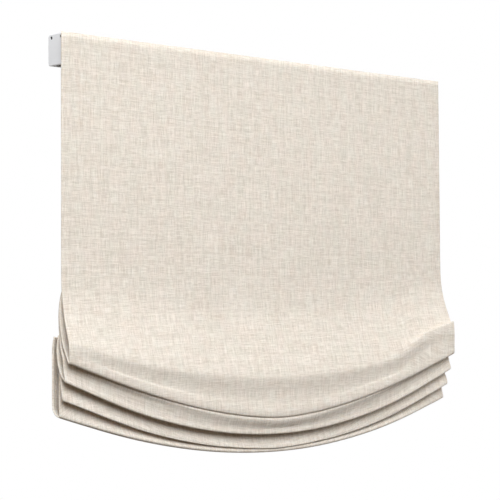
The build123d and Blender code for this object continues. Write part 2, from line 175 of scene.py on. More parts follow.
def buildGrain():
    # the fine orange peel of a moulded or painted surface, and the faint dullness of handling
    tree, put, out = newGroup(
        "fineGrain",
        [("Place", "Vector", None), ("Grain Size", "Float", 0.0006), ("Dulling", "Float", 0.1)],
        [("Height", "Float"), ("Roughness Shift", "Float"), ("Shade", "Float")],
    )
    spacing = addNode(tree, "CombineXYZ", {axis: put["Grain Size"] for axis in range(3)}).outputs[0]
    scaled = addNode(tree, "VectorMath", {0: put["Place"], 1: spacing}, operation="DIVIDE").outputs[0]
    peel = noise(tree, scaled, detail=3)
    smear = noise(tree, stretched(tree, put["Place"], (35, 35, 60)), detail=4, roughness=0.6)
    tree.links.new(peel, out.inputs["Height"])
    shift = calc(tree, "MULTIPLY", calc(tree, "SUBTRACT", smear, 0.5), put["Dulling"])
    tree.links.new(shift, out.inputs["Roughness Shift"])
    tree.links.new(spread(tree, smear, 0.3, 0.7, 0, 1), out.inputs["Shade"])
    return tree


weaveGroup = buildWeave()
grainGroup = buildGrain()

# materials

def objectPlace(tree):
    return addNode(tree, "TexCoord").outputs["Object"]


def ownPlace(tree, uvName):
    return addNode(tree, "UVMap", uv_map=uvName).outputs[0]


def bumped(tree, shader, height, distance, strength=1.0):
    inputs = {"Height": height, "Distance": distance, "Strength": strength}
    tree.links.new(addNode(tree, "Bump", inputs).outputs[0], shader.inputs["Normal"])


linenLook = {
    "pale": (0.955, 0.873, 0.785, 1),
    "deep": (0.575, 0.49, 0.403, 1),
    "fleck": (0.435, 0.35, 0.272, 1),
    "rosy": (0.84, 0.728, 0.64, 1),
    "grey": (0.80, 0.753, 0.655, 1),
    "tint": (55, 28, 1),  # how stretched the rosy and grey areas are
    "fibreShare": 0.34,
    "fleckShare": 0.35,
    "yarn": 0.00095,
    "wander": 0.5,
    "yarnHeight": 0.00035,
}


def makeLinen():
    material, tree, shader = newMaterial(
        "naturalLinen", linenLook["pale"][:3], 0.92, Sheen_Weight=0.06, Sheen_Roughness=0.55,
        Specular_IOR_Level=0.1, Subsurface_Weight=0.4, Subsurface_Scale=0.001,
        Subsurface_Radius=(0.9, 1.05, 1.25),
    )
    place = ownPlace(tree, "clothFlat")
    inputs = {"Place": place, "Yarn Pitch": linenLook["yarn"], "Wander": linenLook["wander"]}
    weave = useGroup(tree, weaveGroup, inputs)
    tint = noise(tree, stretched(tree, place, linenLook["tint"]), detail=2)
    paleness = spread(tree, weave["Shade"], 0.2, 0.8, 0, 1)
    yarn = mixColour(tree, paleness, linenLook["deep"], linenLook["pale"])
    fibre = mixColour(tree, spread(tree, tint, 0.35, 0.65, 0, 1), linenLook["rosy"], linenLook["grey"])
    body = mixColour(tree, linenLook["fibreShare"], yarn, fibre)
    flecked = calc(tree, "MULTIPLY", weave["Fleck"], linenLook["fleckShare"])
    tree.links.new(mixColour(tree, flecked, body, linenLook["fleck"]), shader.inputs["Base Color"])
    bumped(tree, shader, weave["Height"], linenLook["yarnHeight"], 0.7)
    return material


tapeLook = {
    "yarn": 0.0016,
    "wander": 1.2,
    "fuzz": (900, 900, 900),
    "deep": (0.66, 0.66, 0.65, 1),
    "pale": (0.88, 0.88, 0.87, 1),
}


def makeTape():
    material, tree, shader = newMaterial("hookTape", (0.80, 0.80, 0.79), 0.9, Sheen_Weight=0.3)
    place = objectPlace(tree)
    turned = addNode(tree, "Mapping", {"Vector": place, "Rotation": (math.pi / 2, 0, 0)}).outputs[0]
    inputs = {"Place": turned, "Yarn Pitch": tapeLook["yarn"], "Wander": tapeLook["wander"]}
    weave = useGroup(tree, weaveGroup, inputs)
    fuzz = noise(tree, stretched(tree, place, tapeLook["fuzz"]), detail=2)
    pile = mixColour(tree, fuzz, tapeLook["deep"], tapeLook["pale"])
    tree.links.new(pile, shader.inputs["Base Color"])
    bumped(tree, shader, calc(tree, "ADD", weave["Height"], fuzz), 0.0005)
    return material


def makeGrained(name, colour, roughness, grain, bump, dulling=0.12, darker=0.94, **sockets):
    material, tree, shader = newMaterial(name, colour, roughness, **sockets)
    inputs = {"Place": objectPlace(tree), "Grain Size": grain, "Dulling": dulling}
    effect = useGroup(tree, grainGroup, inputs)
    shaded = tuple(part * darker for part in colour)
    paint = mixColour(tree, effect["Shade"], (*shaded, 1), (*colour, 1))
    tree.links.new(paint, shader.inputs["Base Color"])
    tree.links.new(calc(tree, "ADD", effect["Roughness Shift"], roughness), shader.inputs["Roughness"])
    bumped(tree, shader, effect["Height"], bump)
    return material


def makeSteel(name, colour, roughness, stretch, **sockets):
    # drawn or turned metal, with its fine lines along the stretched way
    material, tree, shader = newMaterial(name, colour, roughness, Metallic=1.0, **sockets)
    lines = noise(tree, stretched(tree, objectPlace(tree), stretch), detail=3)
    paler = tuple(min(1, part * 1.15) for part in colour)
    tree.links.new(mixColour(tree, lines, (*colour, 1), (*paler, 1)), shader.inputs["Base Color"])
    rough = spread(tree, lines, 0.3, 0.7, roughness - 0.06, roughness + 0.1)
    tree.links.new(rough, shader.inputs["Roughness"])
    bumped(tree, shader, lines, 0.00004)
    return material


braidLook = {
    "strands": 4.0,
    "crossings": 650.0,  # to the metre
    "deep": (0.62, 0.59, 0.53, 1),
    "pale": (0.88, 0.86, 0.81, 1),
}


def makeCord():
    # a fine braid, its strands crossing both ways round the cord
    material, tree, shader = newMaterial("braidedCord", (0.84, 0.82, 0.77), 0.75, Sheen_Weight=0.2)
    flat = addNode(tree, "SeparateXYZ", {"Vector": ownPlace(tree, "cordWay")}).outputs
    strands = []
    for sign in (1, -1):
        along = calc(tree, "MULTIPLY", flat[1], braidLook["crossings"])
        turn = calc(tree, "MULTIPLY_ADD", flat[0], sign * braidLook["strands"], along)
        strands.append(calc(tree, "ABSOLUTE", calc(tree, "SINE", calc(tree, "MULTIPLY", turn, math.pi))))
    braid = calc(tree, "MAXIMUM", *strands)
    colour = mixColour(tree, braid, braidLook["deep"], braidLook["pale"])
    tree.links.new(colour, shader.inputs["Base Color"])
    bumped(tree, shader, braid, 0.0002)
    return material


linen = makeLinen()
slotLooks = {
    "linen": linen,
    "hook_tape": makeTape(),
    "rail_coat": makeGrained("powderCoat", (0.74, 0.74, 0.75), 0.38, 0.0007, 0.00003),
    "cap_plastic": makeGrained("capPlastic", (0.90, 0.88, 0.885), 0.34, 0.0009, 0.00004, Coat_Weight=0.15),
    "bracket_steel": makeGrained("bracketPaint", (0.76, 0.76, 0.76), 0.3, 0.0008, 0.00004),
    "white_nylon": makeGrained("whiteNylon", (0.80, 0.80, 0.77), 0.45, 0.0005, 0.00005),
    "brake_plastic": makeGrained("brakePlastic", (0.05, 0.053, 0.06), 0.5, 0.0004, 0.00006),
    "screw_steel": makeGrained("blackedSteel", (0.035, 0.035, 0.038), 0.4, 0.0003, 0.00003, Metallic=0.6),
    "clear_plastic": makeGrained(
        "clearPlastic", (0.86, 0.86, 0.83), 0.16, 0.001, 0.00002, Transmission_Weight=0.55, IOR=1.5
    ),
    "steel": makeSteel("drawnSteel", (0.46, 0.47, 0.49), 0.32, (12, 900, 900)),
    "cord": makeCord(),
}
threadLook = makeGrained("sewingThread", (0.74, 0.69, 0.60), 0.8, 0.0002, 0.00003, Sheen_Weight=0.3)
springSteel = makeSteel("springSteel", (0.33, 0.34, 0.37), 0.28, (300, 60, 60))

for part in frame["record"]["subparts"]:
    piece = nodes[part["node"]]
    piece.data.materials.clear()
    piece.data.materials.append(slotLooks[part["material_slot"]])
print("materials: done")

# the cloth

clothLook = {
    # lengths in mm
    "halfWidth": 380.0,
    "thickness": 0.9,
    "columnSpacing": 8.5,
    "rowSpacing": 5.2,
    "panelRowSpacing": 9,
    "hemWidth": 25.0,
    "hemGap": 1.5,
    "hemRise": 0.6,
    "hemRamp": 7,
    "hemTurn": 1.2,  # of cloth used up where the hem turns back
    "edgeColumns": (0.8, 2, 4, 8, 14, 20),  # the mesh is finer near the edge
    "edgeRound": 0.6,
    "edgeRoundWidth": 9,
    "endBend": 6,  # how far the ends behind the last fold bend forward
    "bendWidth": 13,
    "bendRows": 6,
    "layerGap": 2.3,  # between one leg of a fold and the next
    "firstGap": 1.2,  # the same in the first fold and just behind it, where the cloth lies closer
    "turnShare": 0.75,  # near a turn the gap is no more than this share of the way to it
    "splay": 4,  # of the folds' ends past the flat cloth
    "splayFrom": 325,
    "pullWidth": 34,  # how far outside the rings their pull on the crests reaches
    "liftFrom": 235,
    "liftWidth": 95,
    "ripples": 9,
    "rippleSize": 0.8,
    "rippleAcross": 0.035,  # the shortest ripples, in radians to the mm
    "rippleDown": 0.02,
    "rippleShift": 300,  # so that cloth at the same height in two folds ripples apart
    # under 1, the curve along the fold is flatter in the middle
    "sag": {"belly": 0.85, "deepest": 0.85, "bulge": 0.85},
    # over 1, the depth in the middle is kept until near the ends
    "endShare": {"hollow": 3, "bulge": 2.5, "flush": 1.8},
    "rightLift": {"leans": 12, "ridge": 24, "hollow": 16},
    "seed": 7,
}
# how far behind the flat cloth's face the folds may reach beside the cords, by their drop, in mm
cordRoom = {"upperEnd": 412, "upper": -6.2, "lower": -3.2, "lowerEnd": 428, "width": 7, "slope": 0.6}
ringColumn = 340.0
# Down the cloth, in mm: what the place is, how far it stands in front of the flat cloth and how far
# it drops below the top, in the middle and at the ends, how much wider it is there, and for the
# crests, how far they drop at the two columns of rings that hold them up.
clothStations = [
    ("flat", 0, 0, 0, 0, 0),
    ("flat", 0, 140, 0, 116, 0),
    ("flat", 0, 270, 0, 224, 0),
    ("flat", 0, 355, 0, 305, 0),
    ("leans", 2, 386, 0.6, 344, 0.3),
    ("leans", 7.4, 413, 4.6, 371, 1.2),
    ("leans", 14, 440, 12.8, 397, 3),
    ("leans", 20.4, 464, 20.8, 415, 4.6),
    ("ridge", 24.4, 478.5, 23.8, 422.5, 5),
    ("hollow", 25, 485, 24.8, 427, 5.3),
    ("hollow", 23.8, 494, 25.4, 431, 5.3),
    ("hollow", 22.6, 504, 25.6, 435, 5.3),
    ("hollow", 22.4, 514, 25.6, 438.6, 5.3),
    ("belly", 23.2, 523, 25.4, 442, 5),
    ("belly", 24.6, 531, 25.6, 446.4, 5),
    ("belly", 24.8, 538.6, 25.2, 450.2, 5),
    ("deepest", 23.2, 541, 23.4, 451.8, 5),
    ("belly", 20.4, 538.8, 21, 450, 5),
    ("belly", 16.8, 531, 15, 441, 4.5),
    ("leg", 13.6, 516, 7, 428, 4),
    ("leg", 9.4, 503, 0, 405, 3.5),
    ("leg", 7.2, 491, -2.6, 389, 3),
    ("leg", 5.2, 484, -4, 372, 1.5),
    ("curl", 3.2, 479.5, -3.6, 359, -1.5, 377),
    ("crest", 0.2, 477.5, -6, 351, -5, 371),
    ("curl", -3, 481, -8.4, 359, -4, 378),
    ("leg", -2, 497, -8.4, 378, -1),
    ("leg", 2.5, 515, -5, 408, 1),
    ("leg", 8.6, 526, 4, 434, 4),
    ("belly", 14.8, 533, 9.6, 444, 5),
    ("bulge", 22.8, 542.2, 10.5, 453.2, 5),
    ("belly", 22.8, 547.4, 11.2, 457, 5.1),
    ("belly", 20, 553, 12.2, 462, 5.3),
    ("roll", 16.4, 558, 14.2, 468, 5.5),
    ("roll", 17.4, 564.6, 16.4, 475, 5.5),
    ("bottom", 15.9, 566.3, 15.1, 477, 5.3),
    ("roll", 14.2, 565, 13.2, 475.8, 5),
    ("leg", 11, 556, 6.5, 471, 5),
    ("leg", 7, 541, -1, 460, 5),
    ("leg", 2, 522, -5.5, 446, 4.5),
    ("leg", -1.5, 506, -7.6, 431, 4),
    ("curl", -3.2, 496, -8, 420, 2, 393),
    ("crest", -5.5, 492, -9.4, 415, 0, 386.5),
    ("curl", -7.8, 496, -11, 420, -2, 394),
    ("leg", -6, 510, -10, 435, -4),
    ("leg", -2, 530, -7.5, 455, -1),
    ("leg", 1.4, 556, 0.6, 477, 2),
    ("leg", 4, 570.5, 5, 487.5, 4),
    ("roll", 7, 580, 7.4, 495, 4.5),
    ("roll", 9.4, 586.6, 8, 500.6, 4.5),
    ("deepest", 8.4, 588.3, 6.8, 502.4, 4),
    ("belly", 6.8, 587, 5, 501.2, 3),
    ("leg", 3, 578, -1.4, 495, 1),
    ("leg", -0.6, 560, -5.5, 480, -3),
    ("leg", -5, 537, -9, 458, -5),
    ("leg", -8.2, 515, -11.5, 436, -6),
    ("curl", -9, 504.5, -12.2, 424, -6, 409),
    ("crest", -11.3, 500, -13.6, 419, -6, 402),
    ("curl", -13.6, 505, -14.6, 424, -6, 410),
    ("leg", -12, 522, -13, 442, -5),
    ("leg", -6.5, 548, -11, 468, -3),
    ("leg", 0, 572, -6.4, 496, 1),
    ("leg", 4, 584, -2.4, 514.6, 3),
    ("flush", 8.2, 590.4, -1.4, 523.2, 4),
    ("bottom", 6.4, 593.4, -2.8, 525.2, 4),
    ("roll", 3.6, 592, -9, 524.4, 5),
    ("leg", -6, 579, -18.6, 517.6, 7.5),
    ("leg", -13.5, 556, -20.4, 498, 7.5),
    ("leg", -18.4, 532, -20.6, 466, 7),
    ("leg", -20.4, 512, -20.4, 434, 7),
    ("curl", -19.6, 503, -19, 420, 6, 416),
    ("crest", -17.4, 500, -16.6, 415.6, 5, 411),
    ("curl", -15.4, 504, -14.6, 420, 2, 417),
    ("leg", -14.8, 516, -14, 434, 1),
    ("hem", -15, 530, -14.2, 448, 0),
]


def stationsAt(xs):
    # every station at each x, as forward, drop and extra half width
    ends = clothLook["halfWidth"] + clothLook["splay"]
    pull = np.where(
        np.abs(xs) < ringColumn,
        (np.abs(xs) / ringColumn) ** 4,
        (1 - np.clip((np.abs(xs) - ringColumn) / clothLook["pullWidth"], 0, 1)) ** 2,
    )
    share = (xs / ends) ** 2
    rightShare = np.clip((xs - clothLook["liftFrom"]) / clothLook["liftWidth"], 0, 1)
    rightShare = rightShare**2 * (3 - 2 * rightShare)
    columnShare = (ringColumn / ends) ** 2
    places = []
    for station in clothStations:
        kind, midForward, midDrop, endForward, endDrop, wider = station[:6]
        drop = midDrop + (endDrop - midDrop) * share ** clothLook["sag"].get(kind, 1)
        drop = drop - clothLook["rightLift"].get(kind, 0) * rightShare
        if len(station) > 6:
            drop = drop + (station[6] - midDrop - (endDrop - midDrop) * columnShare) * pull
        forward = midForward + (endForward - midForward) * share ** clothLook["endShare"].get(kind, 1)
        places.append((forward, drop, wider + 0 * xs))
    return np.array(places)


def smoothRows(places):
    # a smooth line down through the stations, the same number of rows at every x
    steps = np.linalg.norm(np.diff(places[:, :2], axis=0), axis=1)
    counts = np.maximum(3, np.ceil(steps.mean(1) / clothLook["rowSpacing"])).astype(int)
    flat = sum(station[0] == "flat" for station in clothStations)
    counts[:flat] = np.ceil(steps.mean(1)[:flat] / clothLook["panelRowSpacing"]).astype(int)
    knots = np.sqrt(steps)[:, None, :]
    slopes = np.diff(places, axis=0) / knots
    inner = (slopes[:-1] * knots[1:] + slopes[1:] * knots[:-1]) / (knots[:-1] + knots[1:])
    tangents = np.concatenate([slopes[:1], inner, slopes[-1:]])
    rows, turns = [places[:1]], []
    for span, count in enumerate(counts):
        t = (np.arange(1, count + 1) / count)[:, None, None]
        h = knots[span]
        rows.append(
            (2 * t**3 - 3 * t**2 + 1) * places[span]
            + (t**3 - 2 * t**2 + t) * h * tangents[span]
            + (3 * t**2 - 2 * t**3) * places[span + 1]
            + (t**3 - t**2) * h * tangents[span + 1]
        )
        if clothStations[span + 1][0] in ("bottom", "deepest", "crest"):
            turns.append(sum(len(r) for r in rows) - 1)
    return np.concatenate(rows), turns


def ripple(rng, xs, drops, waves, size):
    # soft uneven waves over the cloth, the same every time
    total = 0 * drops
    widest, deepest = clothLook["rippleAcross"], clothLook["rippleDown"]
    for _ in range(waves):
        across, down = rng.uniform(-widest, widest), rng.uniform(-deepest, deepest)
        total = total + np.sin(across * xs + down * drops + rng.uniform(0, 6.3))
    return total * size / math.sqrt(waves)


def keepApart(forward, drop, xs, turns):
    # each leg of a fold stays behind the one before it, and near the rings in front of the cords
    legs = [slice(a, b + 1) for a, b in zip([0] + turns, turns + [len(forward) - 1])]
    gap, turnShare = clothLook["layerGap"], clothLook["turnShare"]
    for c, x in enumerate(xs):
        away = max(0, abs(abs(x) - ringColumn) - cordRoom["width"])

        def other(leg, drops):
            order = np.argsort(drop[leg, c])
            known = drop[leg, c][order]
            return np.interp(drops, known, forward[leg, c][order], left=np.nan, right=np.nan)

        for k in range(1, len(legs)):
            rows = legs[k]
            widest = gap if k > 2 else clothLook["firstGap"]
            room = np.minimum(widest, turnShare * np.abs(drop[rows, c] - drop[turns[k - 1], c]))
            near = other(legs[k - 1], drop[rows, c]) - room
            forward[rows, c] = np.fmin(forward[rows, c], near)
        for k in range(len(legs) - 3, 0, -1):
            rows = legs[k]
            limit = np.where(drop[rows, c] < cordRoom["upperEnd"], cordRoom["upper"], cordRoom["lower"])
            limit = limit - cordRoom["slope"] * away
            limit = np.where(drop[rows, c] > cordRoom["lowerEnd"], -np.inf, limit)
            if k < len(legs) - 3:  # the last fold's rear leg lies behind the cords and sets no limit
                room = np.minimum(gap, turnShare * np.abs(drop[rows, c] - drop[turns[k], c]))
                limit = np.fmax(limit, other(legs[k + 1], drop[rows, c]) + room)
            forward[rows, c] = np.maximum(forward[rows, c], limit)
    return forward


def buildCloth():
    rng = np.random.default_rng(clothLook["seed"])
    half = clothLook["halfWidth"]
    hem = clothLook["hemWidth"]
    front = np.linspace(-half, half, int(2 * half / clothLook["columnSpacing"]) + 1)
    fine = [half - d for d in (*clothLook["edgeColumns"], hem - 1, hem + 1)]
    front = np.unique(np.round(np.concatenate([front, fine, [-f for f in fine]]), 2))
    places, turns = smoothRows(stationsAt(front))
    forward, drop, wider = places[:, 0], places[:, 1], places[:, 2]
    rowsDown = np.arange(len(forward))[:, None] / len(forward)
    firmness = np.clip((rowsDown - 0.05) * 4, 0, 1)  # none at the top, where the strip holds it flat
    waves, size = clothLook["ripples"], clothLook["rippleSize"]
    shifted = drop + clothLook["rippleShift"] * rowsDown
    forward += ripple(rng, front[None, :], shifted, waves, size) * firmness
    forward = keepApart(forward, drop, front, turns)
    for _ in range(2):
        forward[1:-1] = 0.25 * forward[:-2] + 0.5 * forward[1:-1] + 0.25 * forward[2:]
    splayFrom = clothLook["splayFrom"]
    outer = np.clip((np.abs(front) - splayFrom) / (half - splayFrom), 0, 1) ** 1.5
    across = front[None, :] + np.sign(front)[None, :] * wider * outer
    # the doubled hem along each side stands a little proud, and its edge rounds back
    inHem = np.abs(front) - half + hem
    forward += clothLook["hemRise"] * np.clip(inHem / clothLook["hemRamp"] + 0.5, 0, 1)
    width = clothLook["edgeRoundWidth"]
    forward -= clothLook["edgeRound"] * np.clip((inHem - hem + width) / width, 0, 1) ** 2
    # behind the last fold the ends bend forward and half close it
    behind = np.clip((np.arange(len(forward)) - turns[-2]) / clothLook["bendRows"], 0, 1)[:, None]
    atEnd = np.clip((inHem - hem) / clothLook["bendWidth"] + 1, 0, 1)
    forward += behind * clothLook["endBend"] * atEnd**2
    low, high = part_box("cloth_panel")
    faceY = (low.y + high.y) / 2
    points = np.stack([across * mm, faceY - forward * mm, high.z - drop * mm], -1)
    # normals on the wall side of the flat cloth
    alongRows = np.gradient(points, axis=0)
    alongColumns = np.gradient(points, axis=1)
    normals = np.cross(alongRows, alongColumns)
    normals /= np.linalg.norm(normals, axis=2, keepdims=True) + 1e-12
    if normals[2, len(front) // 2, 1] < 0:
        normals = -normals
    lengths = np.concatenate([
        np.zeros((1, len(front))), np.cumsum(np.linalg.norm(np.diff(points, axis=0), axis=2), axis=0)
    ])
    # the weave runs on evenly from one column to the next
    evenness = np.stack([np.ones_like(front), (front / half) ** 2, (front / half) ** 4], 1)
    lengths = (evenness @ np.linalg.lstsq(evenness, lengths.T, rcond=None)[0]).T
    # the side hems: round the edge and back along the wrong side
    hemColumns = [(0.35, 0.2), (0.55, 0.55), (0.5, 0.85), (0.0, 1.0)]  # mm out, share of the way back
    returns = [i for i, x in enumerate(front) if half - hem - 0.5 <= x < half - 0.5]

    def hemSide(sign):
        edge = len(front) - 1 if sign > 0 else 0
        side = []
        for out, back in hemColumns:
            p = points[:, edge] + normals[:, edge] * clothLook["hemGap"] * back * mm
            p = p + np.array([sign * out * mm, 0, 0])
            side.append((p, half + clothLook["hemTurn"] * back))
        for i in reversed(returns):
            j = i if sign > 0 else len(front) - 1 - i
            p = points[:, j] + normals[:, j] * clothLook["hemGap"] * mm
            side.append((p, 2 * half - front[i] + clothLook["hemTurn"]))
        return side

    right = hemSide(1)
    left = hemSide(-1)
    middle = [points[:, i] for i in range(len(front))]
    allPoints = [p for p, _ in reversed(left)] + middle + [p for p, _ in right]
    allAcross = [-u for _, u in reversed(left)] + list(front) + [u for _, u in right]
    grid = np.stack(allPoints, 1)
    flatAcross = np.array(allAcross) * mm
    columnOf = [0] * len(left) + list(range(len(front))) + [len(front) - 1] * len(right)
    flatDown = lengths[:, columnOf]
    return grid, flatAcross, flatDown, points, normals, front


def meshFromGrid(name, grid, flatAcross, flatDown, uvName):
    rows, columns = grid.shape[:2]
    index = np.arange(rows * columns).reshape(rows, columns)
    faces = np.stack([index[:-1, :-1], index[1:, :-1], index[1:, 1:], index[:-1, 1:]], -1).reshape(-1, 4)
    mesh = bpy.data.meshes.new(name)
    mesh.from_pydata(grid.reshape(-1, 3).tolist(), [], faces.tolist())
    uvs = np.stack([np.broadcast_to(flatAcross, (rows, columns)), -flatDown], -1).reshape(-1, 2)
    layer = mesh.uv_layers.new(name=uvName)
    layer.data.foreach_set("uv", uvs[faces.ravel()].ravel())
    mesh.polygons.foreach_set("use_smooth", [True] * len(mesh.polygons))
    mesh.update()
    piece = bpy.data.objects.new(name, mesh)
    bpy.context.scene.collection.objects.link(piece)
    return piece


def applyModifier(piece, kind, **settings):
    bpy.ops.object.select_all(action="DESELECT")
    piece.select_set(True)
    bpy.context.view_layer.objects.active = piece
    modifier = piece.modifiers.new(kind.lower(), kind)
    for name, value in settings.items():
        setattr(modifier, name, value)
    bpy.ops.object.modifier_apply(modifier=modifier.name)


grid, flatAcross, flatDown, clothPoints, clothNormals, clothXs = buildCloth()
cloth = meshFromGrid("linen_cloth", grid, flatAcross, flatDown, "clothFlat")
cloth.data.materials.append(linen)
applyModifier(cloth, "SOLIDIFY", thickness=clothLook["thickness"] * mm, offset=0)
print("cloth:", len(cloth.data.polygons), "faces, flat length", round(float(flatDown[-1].mean()), 3))
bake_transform(cloth)
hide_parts("cloth_panel", "cloth_folds")

# lift cords, rings and spools

def tubeMesh(name, path, radius, sides, uvName):
    # a closed round tube along the points of a path, with its way along and around as a UV map
    path = np.array(path)
    along = np.gradient(path, axis=0)
    along /= np.linalg.norm(along, axis=1, keepdims=True)
    side = np.cross(along, (0.0, 0.0, 1.0)) if abs(along[0][2]) < 0.9 else np.cross(along, (1.0, 0.0, 0.0))
    for i in range(1, len(side)):
        side[i] = side[i - 1] - along[i] * np.dot(side[i - 1], along[i])  # carried along without a twist
        side[i] /= np.linalg.norm(side[i])
    side[0] /= np.linalg.norm(side[0])
    other = np.cross(along, side)
    angles = np.arange(sides) * 2 * math.pi / sides
    rings = path[:, None] + radius * (
        side[:, None] * np.cos(angles)[None, :, None] + other[:, None] * np.sin(angles)[None, :, None]
    )
    lengths = np.concatenate([[0], np.cumsum(np.linalg.norm(np.diff(path, axis=0), axis=1))])
    index = np.arange(len(path) * sides).reshape(len(path), sides)
    faces, corners = [], []
    for i in range(len(path) - 1):
        for k in range(sides):
            n = (k + 1) % sides
            faces.append((index[i, k], index[i, n], index[i + 1, n], index[i + 1, k]))
            corners += [(k / sides, lengths[i]), ((k + 1) / sides, lengths[i]),
                        ((k + 1) / sides, lengths[i + 1]), (k / sides, lengths[i + 1])]
    for ring, flip in ((index[0], True), (index[-1], False)):
        faces.append(tuple(reversed(ring)) if flip else tuple(ring))
        corners += [(k / sides, 0.0) for k in range(sides)]
    mesh = bpy.data.meshes.new(name)
    mesh.from_pydata(rings.reshape(-1, 3).tolist(), [], [tuple(int(v) for v in face) for face in faces])
    layer = mesh.uv_layers.new(name=uvName)
    layer.data.foreach_set("uv", [float(value) for corner in corners for value in corner])
    mesh.polygons.foreach_set("use_smooth", [len(p.vertices) == 4 for p in mesh.polygons])
    mesh.update()
    piece = bpy.data.objects.new(name, mesh)
    bpy.context.scene.collection.objects.link(piece)
    return piece


def recalculated(piece):
    bpy.ops.object.select_all(action="DESELECT")
    piece.select_set(True)
    bpy.context.view_layer.objects.active = piece
    bpy.ops.object.mode_set(mode="EDIT")
    bpy.ops.mesh.select_all(action="SELECT")
    bpy.ops.mesh.normals_make_consistent(inside=False)
    bpy.ops.object.mode_set(mode="OBJECT")


def joined(pieces, name):
    bpy.ops.object.select_all(action="DESELECT")
    for piece in pieces:
        piece.select_set(True)
    bpy.context.view_layer.objects.active = pieces[0]
    bpy.ops.object.join()
    bpy.ops.object.transform_apply(location=True, rotation=True, scale=True)
    piece = bpy.context.object
    piece.name = name
    piece.data.name = name
    return piece


stitchLook = {
    "spacing": 7.0 * mm,
    "length": 3.2 * mm,
    "radius": 0.24 * mm,
    "lift": 0.6 * mm,
    "inset": 2.2,  # mm inside the edge of the hem
    "points": 4,
    "sides": 5,
}


def buildHemStitches():
    # the line of stitches that holds each side hem down, on the wrong side
    stitches = []
    place = clothLook["halfWidth"] - clothLook["hemWidth"] + stitchLook["inset"]
    height = clothLook["hemGap"] * mm + stitchLook["lift"]
    for sign in (-1, 1):
        column = int(np.argmin(np.abs(clothXs - sign * place)))
        normals = clothNormals[:, column]
        line = clothPoints[:, column] + normals * height
        lengths = np.concatenate([[0], np.cumsum(np.linalg.norm(np.diff(line, axis=0), axis=1))])
        start = stitchLook["spacing"]
        while start + stitchLook["length"] < lengths[-1]:
            spots = np.linspace(start, start + stitchLook["length"], stitchLook["points"])
            path = np.stack([np.interp(spots, lengths, line[:, axis]) for axis in range(3)], 1)
            into = np.stack([np.interp(spots, lengths, normals[:, axis]) for axis in range(3)], 1)
            path[[0, -1]] -= into[[0, -1]] * stitchLook["lift"]  # the ends dip into the cloth
            stitches.append(path)
            start += stitchLook["spacing"]
    return stitches


hemStitches = joined([
    tubeMesh("one_stitch", path, stitchLook["radius"], stitchLook["sides"], "threadWay")
    for path in buildHemStitches()
], "hem_stitches")
recalculated(hemStitches)
hemStitches.data.materials.append(threadLook)
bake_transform(hemStitches)
print("hem stitches:", len(hemStitches.data.polygons), "faces")

cordLook = {
    "radius": 0.7 * mm,
    "drumRadius": 9.0 * mm,
    "overDrum": 200,  # degrees that the cord lies on the drum before it joins the wound turns
    "turnPitch": 1.42 * mm,
    "tail": 2.2 * mm,  # into the cord stop
    "dive": 2.5,  # radii that its end goes down into its hole in the drum
    "diveShare": 0.15,  # of the stretch over the drum
    "sides": 10,
    "woundSides": 8,
}


def buildLiftCord(side):
    low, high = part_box("lift_cord_" + side)
    drumLow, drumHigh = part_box("cord_spool_" + side)
    x, y = (low.x + high.x) / 2, (low.y + high.y) / 2
    axisY, axisZ = (drumLow.y + drumHigh.y) / 2, (drumLow.z + drumHigh.z) / 2
    bottom = low.z - cordLook["tail"]
    rows = 120
    path = [(x, y, bottom + (axisZ - bottom) * i / rows) for i in range(rows)]
    reach = axisY - y
    steps = 40
    for i in range(steps + 1):
        angle = math.radians(cordLook["overDrum"]) * i / steps
        radius = reach + (cordLook["drumRadius"] + cordLook["radius"] - reach) * i / steps
        dive = max(0, i / steps - (1 - cordLook["diveShare"])) / cordLook["diveShare"]
        radius -= cordLook["dive"] * cordLook["radius"] * dive
        path.append((x, axisY - radius * math.cos(angle), axisZ + radius * math.sin(angle)))
    cord = tubeMesh("braided_lift_cord_" + side, path, cordLook["radius"], cordLook["sides"], "cordWay")
    recalculated(cord)
    cord.data.materials.append(slotLooks["cord"])
    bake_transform(cord)
    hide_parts("lift_cord_" + side)


def buildCordTurns(side):
    low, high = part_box("cord_turns_" + side)
    axisY, axisZ = (low.y + high.y) / 2, (low.z + high.z) / 2
    radius = cordLook["drumRadius"] + cordLook["radius"]
    start, width = low.x + cordLook["radius"], high.x - low.x - 2 * cordLook["radius"]
    turns = int(width / cordLook["turnPitch"])
    steps = 32
    path = [
        (start + width * i / (turns * steps),
         axisY - radius * math.cos(2 * math.pi * i / steps),
         axisZ + radius * math.sin(2 * math.pi * i / steps))
        for i in range(turns * steps + 1)
    ]
    cord = tubeMesh("wound_cord_" + side, path, cordLook["radius"], cordLook["woundSides"], "cordWay")
    recalculated(cord)
    cord.data.materials.append(slotLooks["cord"])
    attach(cord, "drive")
    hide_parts("cord_turns_" + side)


springLook = {"turns": 80, "steps": 22, "sides": 8, "play": 0.06 * mm}


def buildSpring():
    low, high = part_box("balance_spring")
    axisY, axisZ = (low.y + high.y) / 2, (low.z + high.z) / 2
    wire = (high.x - low.x) / (springLook["turns"] + 1) / 2 - springLook["play"] / 2
    radius = (high.z - low.z) / 2 - wire
    count = springLook["turns"] * springLook["steps"]
    start, width = low.x + wire, high.x - low.x - 2 * wire
    path = []
    for i in range(count + 1):
        turn = i / springLook["steps"]
        angle = 2 * math.pi * turn
        y, z = axisY + radius * math.cos(angle), axisZ + radius * math.sin(angle)
        path.append((start + width * i / count, y, z))
    coil = tubeMesh("balance_spring_coil", path, wire, springLook["sides"], "wireWay")
    recalculated(coil)
    coil.data.materials.append(springSteel)
    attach(coil, "root")
    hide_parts("balance_spring")


